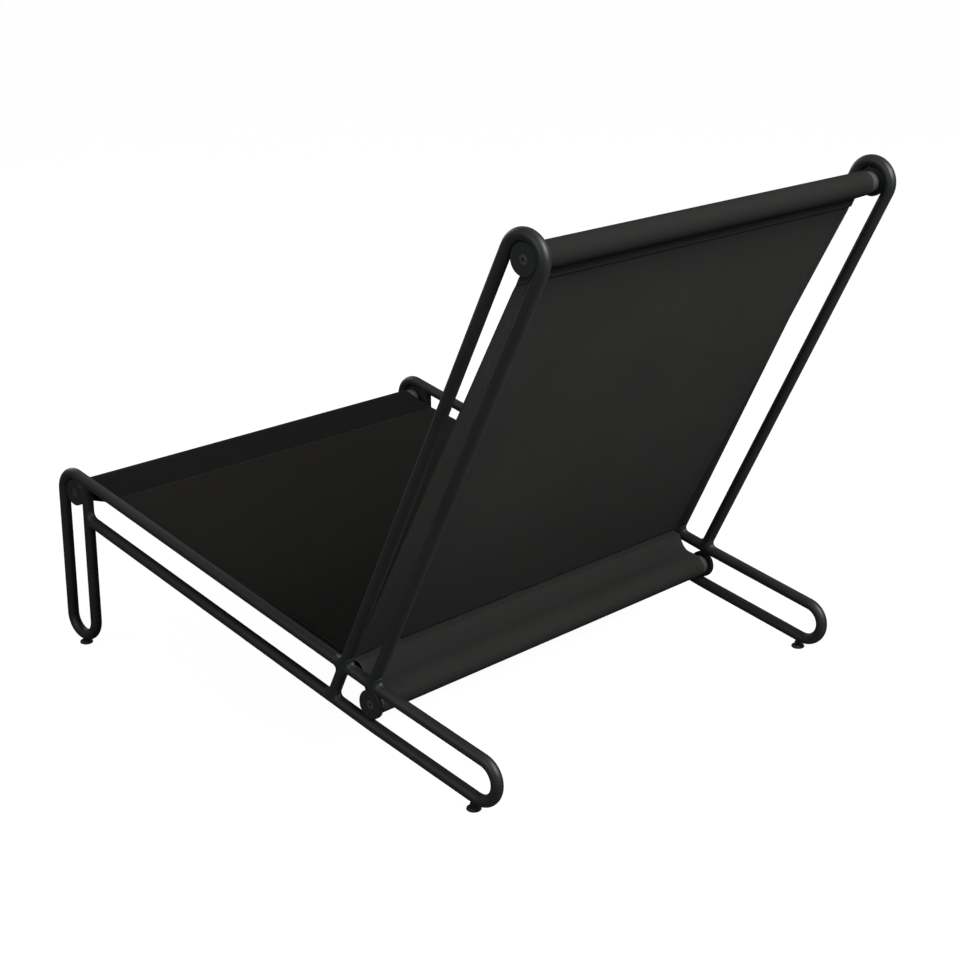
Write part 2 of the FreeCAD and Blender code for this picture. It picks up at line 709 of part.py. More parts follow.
# ---------------------------------------------------------------- sling
CREASE = (f"({AXLES['lower'][0]} - $crease_forward)", f"({AXLES['lower'][1]} + $crease_rise)")
ROD_INNER = "($half_track - $rod_dia / 2)"
PANEL_WIDTH = f"(2 * ({ROD_INNER} - $panel_side_gap))"
SLEEVE_WIDTH = f"(2 * ({DISC_BACK} - $sleeve_end_gap))"
CREASE_WIDTH = f"(2 * ({ROD_INNER} - $crease_side_gap))"
SEAM_EDGE = "($seam_dia / 2 + $seam_gap)"
# Each run of cloth goes from the crease to a tube. The turn is +1 where the sitter's side is to the front
# of the panel, -1 where it is above, and 0 where the cloth points straight at the tube.
RUNS = {
    "front": {"panel": "sling_seat", "turn": -1, "flap": "$front_flap", "width": PANEL_WIDTH},
    "top": {"panel": "sling_back", "turn": 1, "flap": "$top_flap", "width": PANEL_WIDTH},
    "lower": {"panel": "sling_tie", "turn": 0, "flap": "$lower_flap", "width": CREASE_WIDTH},
}


def strip(name, width, start, lean, length):
    """Flat cloth centred on the line that leaves start (y, z) at a lean from upright."""
    item = doc.addObject("Part::Box", name)
    bind(item, "Length", width)
    bind(item, "Width", "$cloth_thickness")
    bind(item, "Height", length)
    turn(item, (-1, 0, 0), lean)
    place(
        item,
        f"-({width}) / 2",
        f"{start[0]} - $cloth_thickness / 2 * cos({lean})",
        f"{start[1]} + $cloth_thickness / 2 * sin({lean})",
    )
    return item


def axle_cylinder(name, radius, width, axle):
    """A cylinder along an axle, centred on the chair."""
    item = doc.addObject("Part::Cylinder", name)
    item.Placement = FreeCAD.Placement(V(0, 0, 0), FreeCAD.Rotation(V(0, 1, 0), 90.0))
    bind(item, "Radius", radius)
    bind(item, "Height", width)
    place(item, f"-({width}) / 2", *AXLES[axle])
    return item


def cloth_run(axle, run):
    """A panel from the crease, and the sleeve that takes it round the tube."""
    y, z = AXLES[axle]
    span = f"hypot({y} - {CREASE[0]}; {z} - {CREASE[1]})"
    straight = lean_of(f"{y} - {CREASE[0]}", f"{z} - {CREASE[1]}")
    offset = "$panel_offset" if run["turn"] else "0"
    lean = f"({straight} - {run['turn']} * {tangent_angle(offset, span)})"
    reach = f"sqrt({span} * {span} - {offset} * {offset})"
    start = (f"{CREASE[0]} + {SEAM_EDGE} * sin({lean})", f"{CREASE[1]} + {SEAM_EDGE} * cos({lean})")
    length = f"{reach} - {run['flap']} - {SEAM_EDGE}"
    subpart(strip(run["panel"], run["width"], start, lean, length), run["panel"])

    middle = "($tube_dia / 2 + $sleeve_clearance + $cloth_thickness / 2)"
    seam = f"({reach} - {run['flap']})"
    parting = f"({seam} + $flap_overlap)"
    seam_point = (f"{CREASE[0]} + {seam} * sin({lean})", f"{CREASE[1]} + {seam} * cos({lean})")
    part_point = (f"{CREASE[0]} + {parting} * sin({lean})", f"{CREASE[1]} + {parting} * cos({lean})")
    ahead = f"({run['flap']} - $flap_overlap)"
    far = f"hypot({ahead}; {offset})"
    toward = f"({lean} + {run['turn']} * {lean_of(offset, ahead)})"
    spread = tangent_angle(middle, far)
    ply = f"sqrt({far} * {far} - {middle} * {middle})"
    outer = axle_cylinder(f"{axle}_sleeve_outer", f"{middle} + $cloth_thickness / 2", SLEEVE_WIDTH, axle)
    inner = axle_cylinder(f"{axle}_sleeve_inner", f"{middle} - $cloth_thickness / 2", SLEEVE_WIDTH, axle)
    ring = doc.addObject("Part::Cut", f"{axle}_sleeve_ring")
    ring.Base = outer
    ring.Tool = inner
    sleeve = fused(f"{axle}_sleeve", [
        ring,
        strip(f"{axle}_sleeve_hem", SLEEVE_WIDTH, seam_point, lean, "$flap_overlap + $cloth_thickness"),
        strip(f"{axle}_sleeve_near", SLEEVE_WIDTH, part_point, f"({toward} - {spread})", ply),
        strip(f"{axle}_sleeve_far", SLEEVE_WIDTH, part_point, f"({toward} + {spread})", ply),
    ])
    subpart(sleeve, f"{axle}_sleeve")


for axle, run in RUNS.items():
    cloth_run(axle, run)

crease = new_body("crease_seam")
cord = new_sketch(crease, "YZ_Plane", "cord")
circle(cord, "seam", "$seam_dia / 2", across=CREASE[0], up=CREASE[1])
pad(crease, cord, CREASE_WIDTH, "rolled", midplane=True)


# ---------------------------------------------------------------- check and write
doc.recompute()
for item in doc.Objects:
    if "Invalid" in item.State or "Error" in item.State:
        raise RuntimeError(f"{item.Label} failed to build: {item.State}")
for item in SUBPARTS:
    if item.Shape.isNull() or not item.Shape.isValid():
        raise RuntimeError(f"{item.Label} has no valid shape")

os.makedirs("parts", exist_ok=True)
for item in SUBPARTS:
    item.Shape.exportStep(f"parts/{item.Label}.step")
print(len(SUBPARTS), "sub-parts written")
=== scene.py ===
# %% [markdown]
# # A low sling lounge chair, dressed for its portrait
# The chair is two side frames of bent steel rod, three cross tubes and one sewn sling. The
# engineering model is loaded first: it fixes every place and size. Everything made below is built
# round it in metres, in the same frame: the sitter faces -Y, +X is the sitter's left and the floor is
# Z = 0.

# %% Load the frame
import math

import bmesh
import bpy
import numpy as np
from mathutils import Matrix, Vector, noise


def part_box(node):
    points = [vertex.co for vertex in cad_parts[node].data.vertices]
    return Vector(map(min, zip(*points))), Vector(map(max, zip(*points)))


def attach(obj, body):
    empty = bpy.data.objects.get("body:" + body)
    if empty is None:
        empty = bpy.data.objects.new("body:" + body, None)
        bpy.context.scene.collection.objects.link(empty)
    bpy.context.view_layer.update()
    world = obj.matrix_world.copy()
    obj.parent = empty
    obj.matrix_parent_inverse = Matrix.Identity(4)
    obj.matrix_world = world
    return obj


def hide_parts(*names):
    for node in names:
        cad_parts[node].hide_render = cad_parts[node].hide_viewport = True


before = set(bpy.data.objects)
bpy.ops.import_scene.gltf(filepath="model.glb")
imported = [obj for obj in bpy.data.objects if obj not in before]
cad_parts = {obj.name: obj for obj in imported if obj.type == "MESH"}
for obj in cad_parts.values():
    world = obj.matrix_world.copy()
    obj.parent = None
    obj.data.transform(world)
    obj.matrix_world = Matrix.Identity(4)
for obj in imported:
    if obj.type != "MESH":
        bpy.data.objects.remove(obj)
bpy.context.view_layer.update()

MM = 0.001

# %% [markdown]
# ## Places
# A maker measures from the frame, so the track, the rod and tube sizes, the tube axes and the crease
# below come from the model's own boxes; the bend radius, the seat pitch and where the back rods
# stand are given as numbers. The side of the chair is a flat drawing in Y and Z: the tube axes, the
# crease of the sling and the slopes of the rods are all found there.

# %% Measure the frame
def middle(node):
    low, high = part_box(node)
    return [(a + b) / 2 for a, b in zip(low, high)]


def side_point(node):
    return np.array(middle(node)[1:])


SIDES = {"left": 1, "right": -1}
TRACK = middle("frame_rod_left")[0]
ROD_R = (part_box("frame_rod_left")[1][0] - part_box("frame_rod_left")[0][0]) / 2
TUBE_R = (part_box("top_tube")[1][2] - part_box("top_tube")[0][2]) / 2
BEND_R = 27.5 * MM
FRONT, TOP, LOWER = (side_point(f"{axle}_tube") for axle in ("front", "top", "lower"))
CREASE = side_point("crease_seam")
SEAT_PITCH = math.radians(13.7)
print("rod radius", round(ROD_R, 4), "tube radius", round(TUBE_R, 4), "track", round(TRACK, 4))

# %% [markdown]
# ## Small helpers
# A mesh is only points and faces. This helper turns lists of them into an object that sits at the
# origin, with its place in its points, and gives it a smooth surface and a material. Cloth gets its
# map in metres from the sheet that builds it.

# %% Mesh helper
def mesh_object(name, points, faces, material, smooth=True):
    mesh = bpy.data.meshes.new(name)
    mesh.from_pydata([tuple(map(float, p)) for p in points], [], faces)
    mesh.validate()
    mesh.materials.append(material)
    mesh.polygons.foreach_set("use_smooth", [smooth] * len(mesh.polygons))
    mesh.update()
    piece = bpy.data.objects.new(name, mesh)
    bpy.context.scene.collection.objects.link(piece)
    return piece


def face_outwards(piece):
    """Weld repeated points and turn every face outwards."""
    shell = bmesh.new()
    shell.from_mesh(piece.data)
    bmesh.ops.remove_doubles(shell, verts=shell.verts, dist=1e-6)
    bmesh.ops.recalc_face_normals(shell, faces=shell.faces)
    shell.to_mesh(piece.data)
    shell.free()
    piece.data.update()


# %% [markdown]
# ## Node helpers
# Every finish is a small node tree. These helpers add a node, wire it up and do arithmetic, so that
# each finish below reads like a recipe.

# %% Node helpers
class Recipe:
    """A material under construction."""

    def __init__(self, name):
        self.material = bpy.data.materials.new(name)
        self.material.use_nodes = True
        self.tree = self.material.node_tree
        self.shader = self.tree.nodes["Principled BSDF"]

    def node(self, kind, **sockets):
        item = self.tree.nodes.new(kind)
        for key, value in sockets.items():
            if hasattr(item, key):
                setattr(item, key, value)
            else:
                item.inputs[key.replace("_", " ")].default_value = value
        return item

    def link(self, source, target):
        self.tree.links.new(source, target)

    def math(self, operation, a, b=None, clamp=False):
        item = self.tree.nodes.new("ShaderNodeMath")
        item.operation = operation
        item.use_clamp = clamp
        for socket, value in zip(item.inputs, (a, b)):
            if value is None:
                continue
            if isinstance(value, (int, float)):
                socket.default_value = value
            else:
                self.link(value, socket)
        return item.outputs[0]

    def noise(self, coordinates, scale, detail=2.0, roughness=0.5):
        item = self.node("ShaderNodeTexNoise", Scale=scale, Detail=detail, Roughness=roughness)
        self.link(coordinates, item.inputs["Vector"])
        return item.outputs["Fac"]

    def spread(self, value, low, high, to_low=0.0, to_high=1.0):
        """Map low..high to to_low..to_high, held at the ends."""
        item = self.tree.nodes.new("ShaderNodeMapRange")
        for socket, number in zip(item.inputs[1:5], (low, high, to_low, to_high)):
            socket.default_value = number
        self.link(value, item.inputs[0])
        return item.outputs[0]

    def blend(self, factor, first, second):
        """Mix two colours, each a tuple or a socket."""
        item = self.tree.nodes.new("ShaderNodeMix")
        item.data_type = "RGBA"
        self.link(factor, item.inputs["Factor"])
        for socket, value in ((item.inputs[6], first), (item.inputs[7], second)):
            if isinstance(value, tuple):
                socket.default_value = (*value, 1.0)
            else:
                self.link(value, socket)
        return item.outputs[2]

    def bump(self, height, distance, strength=1.0, below=None):
        item = self.node("ShaderNodeBump", Strength=strength, Distance=distance)
        self.link(height, item.inputs["Height"])
        if below is not None:
            self.link(below, item.inputs["Normal"])
        return item.outputs["Normal"]

    def set(self, **sockets):
        """Set the shader: a number or colour on its own socket, or a link."""
        for key, value in sockets.items():
            socket = self.shader.inputs[key.replace("_", " ")]
            if isinstance(value, (int, float)):
                socket.default_value = value
            elif isinstance(value, tuple):
                socket.default_value = (*value, 1.0)
            else:
                self.link(value, socket)


# %% [markdown]
# ## Powder coat
# The rods and tubes are powder coated black. Powder melts into a skin with a faint orange-peel ripple
# about a millimetre across, and it scuffs pale near the feet, where the chair is dragged. Noise on
# object coordinates gives both, so the finish stays put when the chair is seen from elsewhere.

# %% Powder coat
def powder_coat(name, colour, dusty, gloss):
    paint = Recipe(name)
    place = paint.node("ShaderNodeTexCoord").outputs["Object"]
    peel = paint.noise(place, 950.0, 3.0)
    grain = paint.noise(place, 4200.0, 2.0)
    cloudy = paint.noise(place, 9.0, 4.0)
    height = paint.node("ShaderNodeSeparateXYZ")
    paint.link(place, height.inputs[0])
    low_down = paint.spread(height.outputs["Z"], 0.0, 0.07, 1.0, 0.0)
    scuff = paint.spread(paint.noise(place, 160.0, 6.0, 0.7), 0.60, 0.72)
    worn = paint.math("MULTIPLY", scuff, paint.math("ADD", paint.math("MULTIPLY", low_down, 0.55), 0.05))
    tinted = paint.blend(paint.spread(cloudy, 0.35, 0.65), colour, dusty)
    colour_out = paint.blend(worn, tinted, (0.11, 0.108, 0.105))
    paint.set(
        Base_Color=colour_out,
        Roughness=paint.math("ADD", paint.spread(cloudy, 0.3, 0.7, gloss, gloss + 0.09), worn, clamp=True),
        Normal=paint.bump(grain, 0.00002, 0.5, paint.bump(peel, 0.00005, 0.8)),
        Specular_IOR_Level=0.38,
    )
    return paint.material


ROD_PAINT = powder_coat("rod_powder_coat", (0.0085, 0.0098, 0.0100), (0.0115, 0.0128, 0.0130), 0.44)
# The tubes get a lighter grey than the rods: a painted highlight for the bright, lit tube ends.
TUBE_PAINT_WITH_HIGHLIGHT = powder_coat("tube_coat_painted_highlight", (0.040, 0.040, 0.041), (0.050, 0.050, 0.051), 0.48)

# %% [markdown]
# ## Woven sling cloth
# Outdoor sling is a plain weave of coated yarn, about one thread to the millimetre. The map on the
# cloth is in metres, so threads can be counted: a checker says which yarn is on top, and a sine makes
# each yarn round. The yarn is charcoal, with slow clouds of dye and a paler bloom where an edge or a
# tube has rubbed it. The seat gets its own darker, browner copy of the cloth, which is painted shade.
# A weight on each point paints the cloth darker: painted shade on the top sleeve, at the foot of the
# back, along the crease and in the band's hollow, and a plain darker tone where the seat and the
# band lie in two layers.

# %% Woven cloth
THREAD_PITCH = 0.95 * MM


def woven_cloth(name, yarn, gap, bloom, doubled_and_shade):
    cloth = Recipe(name)
    sheet_map = cloth.node("ShaderNodeUVMap", uv_map="cloth")
    split = cloth.node("ShaderNodeSeparateXYZ")
    cloth.link(sheet_map.outputs["UV"], split.inputs[0])
    across = cloth.math("MULTIPLY", split.outputs["X"], 1 / THREAD_PITCH)
    along = cloth.math("MULTIPLY", split.outputs["Y"], 1 / THREAD_PITCH)
    checker = cloth.math("ADD", cloth.math("FLOOR", across), cloth.math("FLOOR", along))
    over = cloth.math("FLOORED_MODULO", checker, 2.0)
    under = cloth.math("SUBTRACT", 1.0, over)
    round_across = cloth.math("SINE", cloth.math("MULTIPLY", cloth.math("FRACT", across), math.pi))
    round_along = cloth.math("SINE", cloth.math("MULTIPLY", cloth.math("FRACT", along), math.pi))

    def yarn_height(across_it, along_it, on_top):
        crown = cloth.math("ADD", cloth.math("MULTIPLY", along_it, 0.4), 0.25)
        rise = cloth.math("ADD", cloth.math("MULTIPLY", crown, on_top), 0.35)
        return cloth.math("MULTIPLY", across_it, rise)

    height = cloth.math(
        "MAXIMUM", yarn_height(round_across, round_along, over), yarn_height(round_along, round_across, under)
    )
    place = cloth.node("ShaderNodeTexCoord").outputs["Object"]
    clouds = cloth.noise(place, 5.0, 5.0, 0.6)
    slub = cloth.noise(place, 420.0, 2.0)
    rubbed = cloth.node("ShaderNodeAttribute", attribute_name="rubbed").outputs["Fac"]
    doubled_shade_weight = cloth.node("ShaderNodeAttribute", attribute_name="doubled_shade_weight").outputs["Fac"]
    tone = cloth.blend(cloth.spread(height, 0.15, 0.8), gap, yarn)
    tone = cloth.blend(cloth.spread(clouds, 0.35, 0.7, 0.0, 0.22), tone, bloom)
    tone = cloth.blend(cloth.spread(slub, 0.45, 0.75, 0.0, 0.18), tone, bloom)
    # Painted shade and two-layer cloth: the per-point weight darkens the cloth towards the dark colour.
    tone = cloth.blend(cloth.math("MULTIPLY", doubled_shade_weight, 0.75), tone, doubled_and_shade)
    tone = cloth.blend(cloth.math("MULTIPLY", rubbed, 0.45), tone, bloom)
    cloth.set(
        Base_Color=tone,
        Roughness=cloth.spread(clouds, 0.3, 0.7, 0.78, 0.9),
        Normal=cloth.bump(slub, 0.0001, 0.35, cloth.bump(height, 0.0003, 0.6)),
        Specular_IOR_Level=0.08,
    )
    return cloth.material


CLOTH = woven_cloth(
    "charcoal_weave",
    yarn=(0.0285, 0.0285, 0.0272),
    gap=(0.0115, 0.0115, 0.0110),
    bloom=(0.041, 0.041, 0.039),
    # Dark colour for painted shade and for cloth in two layers.
    doubled_and_shade=(0.0096, 0.0096, 0.0092),
)
# The seat's copy of the cloth is darker and browner: painted shade.
SHADED_SEAT_CLOTH = woven_cloth(
    "shaded_seat_weave",
    yarn=(0.0088, 0.0082, 0.0069),
    gap=(0.0036, 0.0034, 0.0028),
    bloom=(0.0142, 0.0132, 0.0112),
    doubled_and_shade=(0.0037, 0.0037, 0.0036),
)

# %% [markdown]
# ## Thread, screws, studs and pads
# The stitches are a bonded polyester thread, slightly glossier than the cloth and twisted, which a
# fine wave shows. Screws and foot studs are blackened, and the pads are moulded rubber with a matt,
# dusty skin.

# %% Small finishes
def thread_finish():
    thread = Recipe("sewing_thread")
    place = thread.node("ShaderNodeTexCoord").outputs["Object"]
    twist = thread.noise(place, 2600.0, 2.0)
    thread.set(
        Base_Color=thread.blend(twist, (0.005, 0.005, 0.005), (0.016, 0.016, 0.0155)),
        Roughness=0.55,
        Normal=thread.bump(twist, 0.0001, 0.6),
    )
    return thread.material


def metal_finish(name, dark, pale, rough):
    metal = Recipe(name)
    place = metal.node("ShaderNodeTexCoord").outputs["Object"]
    stretch = metal.node("ShaderNodeMapping")
    stretch.inputs["Scale"].default_value = (40.0, 900.0, 900.0)
    metal.link(place, stretch.inputs["Vector"])
    brushed = metal.noise(stretch.outputs[0], 1.0, 3.0)
    spots = metal.noise(place, 500.0, 4.0, 0.65)
    metal.set(
        Base_Color=metal.blend(metal.spread(spots, 0.4, 0.7), dark, pale),
        Metallic=1.0,
        Roughness=metal.spread(brushed, 0.3, 0.7, rough, rough + 0.15),
        Normal=metal.bump(brushed, 0.00002, 0.4),
    )
    return metal.material


def pad_finish():
    pad = Recipe("moulded_pad")
    place = pad.node("ShaderNodeTexCoord").outputs["Object"]
    grain = pad.noise(place, 1500.0, 3.0)
    height = pad.node("ShaderNodeSeparateXYZ")
    pad.link(place, height.inputs[0])
    dusty = pad.math("MULTIPLY", pad.spread(height.outputs["Z"], 0.0, 0.004, 1.0, 0.0), grain)
    pad.set(
        Base_Color=pad.blend(dusty, (0.010, 0.010, 0.010), (0.035, 0.033, 0.030)),
        Roughness=pad.spread(grain, 0.3, 0.7, 0.6, 0.8),
        Normal=pad.bump(grain, 0.00006, 0.7),
    )
    return pad.material


THREAD = thread_finish()
SCREW_STEEL = metal_finish("blackened_steel", (0.12, 0.12, 0.125), (0.24, 0.24, 0.24), 0.30)
STUD_STEEL = metal_finish("black_zinc_plate", (0.05, 0.05, 0.052), (0.10, 0.10, 0.10), 0.34)
PAD_RUBBER = pad_finish()

# %% [markdown]
# ## Dress the frame
# The rods, tubes, discs and feet already have their true shape, so they keep it and only get a finish.

# %% Finish the frame's own parts
def finish_of(node):
    if "screw" in node or "insert" in node:
        return SCREW_STEEL
    if "stud" in node:
        return STUD_STEEL
    if "pad" in node:
        return PAD_RUBBER
    if "tube" in node:
        return TUBE_PAINT_WITH_HIGHLIGHT
    return ROD_PAINT


for node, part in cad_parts.items():
    for material_slot in part.material_slots:
        material_slot.material = finish_of(node)
print("finished", len(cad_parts), "nodes")

# %% [markdown]
# ## Weld fillets
# Where one rod lands on another, the weld fills the corner with a small hollow curve. Two round rods
# of one size meet along a bent ring. The bead is lofted round that ring: at each step a curve leaves
# the standing rod, swings through the corner and lands flat on the rail. Lofting is exact, where a
# blurred boolean would be lumpy.

# %% Loft one weld
WELD_REACH = 9.0 * MM
WELD_STEPS = 72
WELD_CURVE = 8
WELD_PROUD = 0.12 * MM
WELD_ROOT = 1.5 * MM
WELD_SUNK = 0.03 * MM


def unit(vector):
    return vector / np.linalg.norm(vector)


def weld_ring(joint, rail, standing):
    """Points and faces of one bead; joint is on the rail's axis, standing points away from it."""
    forward = unit(rail - rail.dot(standing) * standing)
    sideways = np.cross(standing, forward)
    feet, outs = [], []
    for k in range(WELD_STEPS):
        turn = 2 * math.pi * k / WELD_STEPS
        out = math.cos(turn) * forward + math.sin(turn) * sideways
        start = out * ROD_R
        flat_start = start - start.dot(rail) * rail
        flat_way = standing - standing.dot(rail) * rail
        a, b = flat_way.dot(flat_way), 2 * flat_start.dot(flat_way)
        c = flat_start.dot(flat_start) - ROD_R ** 2
        reach = (-b + math.sqrt(max(b * b - 4 * a * c, 0.0))) / (2 * a)
        feet.append(start + reach * standing)
        outs.append(out)
    points = []
    for k in range(WELD_STEPS):
        foot, out = feet[k], outs[k]
        along = unit(feet[(k + 1) % WELD_STEPS] - feet[k - 1])
        rail_out = unit(foot - foot.dot(rail) * rail)
        away = unit(np.cross(along, rail_out))
        landing = foot + WELD_REACH * away
        axial = landing.dot(rail) * rail
        landing = axial + unit(landing - axial) * ROD_R
        rise = foot + WELD_REACH * standing
        swell = unit(out + rail_out)
        for step in range(WELD_CURVE + 1):
            t = step / WELD_CURVE
            spot = (1 - t) ** 2 * rise + 2 * t * (1 - t) * foot + t * t * landing
            proud = WELD_PROUD * math.sin(math.pi * t) - WELD_SUNK
            points.append(joint + spot + swell * proud)
        points.append(joint + foot - swell * WELD_ROOT)
    ring = WELD_CURVE + 2
    faces = []
    for k in range(WELD_STEPS):
        after = (k + 1) % WELD_STEPS
        for step in range(ring):
            nxt = (step + 1) % ring
            faces.append((k * ring + step, k * ring + nxt, after * ring + nxt, after * ring + step))
    return points, faces


# %% Find the five joints of a side frame
def rail_height(y, drop=0.0):
    """Height of the upper rail's axis; drop lowers it to the lower rail's."""
    start = FRONT[1] + BEND_R / math.cos(SEAT_PITCH)
    return start - (y - FRONT[0]) * math.tan(SEAT_PITCH) - drop


RAIL_DROP = 2 * BEND_R / math.cos(SEAT_PITCH)
BACK_FRONT_Y = 126.1 * MM
BACK_REAR_Y = 177.2 * MM


def lean_of_rod(foot_y, side):
    """Lean of a back rod from upright: it touches the top bend in front (-1) or behind (+1)."""
    dy, dz = TOP[0] - foot_y, TOP[1] - rail_height(foot_y)
    return math.atan2(dy, dz) + side * math.asin(BEND_R / math.hypot(dy, dz))


def side_vector(angle):
    return np.array([0.0, math.sin(angle), math.cos(angle)])


front_lean, rear_lean = lean_of_rod(BACK_FRONT_Y, -1), lean_of_rod(BACK_REAR_Y, 1)
rail_way = np.array([0.0, math.cos(SEAT_PITCH), -math.sin(SEAT_PITCH)])
strut_length = 2 * BEND_R / math.cos(front_lean - SEAT_PITCH)
leg_y = FRONT[0] + BEND_R
for side, sign in SIDES.items():
    x = sign * TRACK
    back_joint = np.array([x, BACK_FRONT_Y, rail_height(BACK_FRONT_Y)])
    rear_joint = np.array([x, BACK_REAR_Y, rail_height(BACK_REAR_Y)])
    leg_joint = np.array([x, leg_y, rail_height(leg_y)])
    low_joint = np.array([x, leg_y, rail_height(leg_y, RAIL_DROP)])
    up = side_vector(front_lean)
    joints = [
        (back_joint, rail_way, up),
        (back_joint, rail_way, -up),
        (back_joint - strut_length * up, rail_way, up),
        (rear_joint, rail_way, side_vector(rear_lean)),
        (leg_joint, rail_way, np.array([0.0, 0.0, -1.0])),
        (low_joint, np.array([0.0, 0.0, 1.0]), rail_way),
    ]
    points, faces = [], []
    for joint in joints:
        ring_points, ring_faces = weld_ring(*joint)
        faces += [tuple(index + len(points) for index in face) for face in ring_faces]
        points += ring_points
    beads = mesh_object(f"weld_beads_{side}", points, faces, ROD_PAINT)
    face_outwards(beads)
    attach(beads, "chair")
    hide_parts(f"welds_{side}")
    print(beads.name, len(joints), "joints,", len(beads.data.polygons), "faces")

# %% [markdown]
# ## Sheets of cloth
# A sling panel is a sheet that follows one line in the side drawing and runs straight across the
# chair. So the sheet is a grid: rows follow the line, columns run across. Each row can be a little
# wider or narrower, each edge is folded back into a double hem, and small waves are pushed in along
# the normal. Two such grids, one for each face, are closed round the edges, because real cloth has a
# thickness. The sling sits 2.8 mm towards the sitter's left, as far as its ends let it slip along the
# tubes.

# %% Lines in the side drawing
def resample(line, spacing):
    """The same line with evenly spaced points."""
    line = np.asarray(line, float)
    runs = np.concatenate([[0.0], np.cumsum(np.linalg.norm(np.diff(line, axis=0), axis=1))])
    count = max(2, int(round(runs[-1] / spacing)) + 1)
    wanted = np.linspace(0.0, runs[-1], count)
    return np.stack([np.interp(wanted, runs, line[:, k]) for k in range(2)], axis=1)


def relaxed(line, passes):
    """Take the sharpness out of corners, keeping both ends."""
    line = line.copy()
    for _ in range(passes):
        line[1:-1] = (line[:-2] + 2 * line[1:-1] + line[2:]) / 4
    return line


def normals_of(line, sitter):
    """Unit normals; sitter is +1 or -1 to point them at the sitter's side."""
    along = np.gradient(line, axis=0)
    along /= np.linalg.norm(along, axis=1)[:, None]
    return sitter * np.stack([-along[:, 1], along[:, 0]], axis=1)


def loop_round(seam, axis, radius, sitter, seam_back):
    """From a seam up to a tube, round it and back to the seam: a sleeve's teardrop.

    sitter is the unit vector to the sitter's side; the far ply ends at seam_back."""
    def touch(origin, side):
        to_axis = axis - origin
        span = np.linalg.norm(to_axis)
        way = to_axis / span
        normal = sitter - sitter.dot(way) * way
        normal = side * normal / np.linalg.norm(normal)
        tilt = math.asin(radius / span)
        return axis - way * radius * math.sin(tilt) + normal * radius * math.cos(tilt)

    first, last = touch(seam, 1), touch(seam_back, -1)
    start, end = (math.atan2(*(p - axis)[::-1]) for p in (first, last))
    outward = (seam - axis) / np.linalg.norm(seam - axis)
    sweep = (end - start) % (2 * math.pi)
    halfway = start + sweep / 2
    if np.dot([math.cos(halfway), math.sin(halfway)], outward) > 0:
        sweep -= 2 * math.pi
    turns = np.linspace(start, start + sweep, 40)
    arc = axis + radius * np.stack([np.cos(turns), np.sin(turns)], axis=1)
    return np.vstack([seam, arc, seam_back])


# %% Weave a sheet from a line
CLOTH_THICK = 1.1 * MM
HEM_WIDTH = 12.0 * MM
HEM_EXTRA = 0.75 * MM
HEM_STEP = 0.8 * MM
ROW_STEP = 4.0 * MM
SLIPPED = 2.8 * MM
COLUMN_STEP = 8.0 * MM


def columns(half):
    """Places across a sheet of this half width, close together at the hems."""
    hem = [0.0, 0.25 * MM, HEM_STEP, 5 * MM, 11 * MM, HEM_WIDTH]
    edge = np.array(hem + [HEM_WIDTH + HEM_STEP, HEM_WIDTH + 4 * MM])
    inner = half - edge[-1]
    count = int(round(2 * half / COLUMN_STEP))
    between = np.linspace(-inner, inner, count)[1:-1]
    return np.concatenate([edge - half, between, half - edge[::-1]])


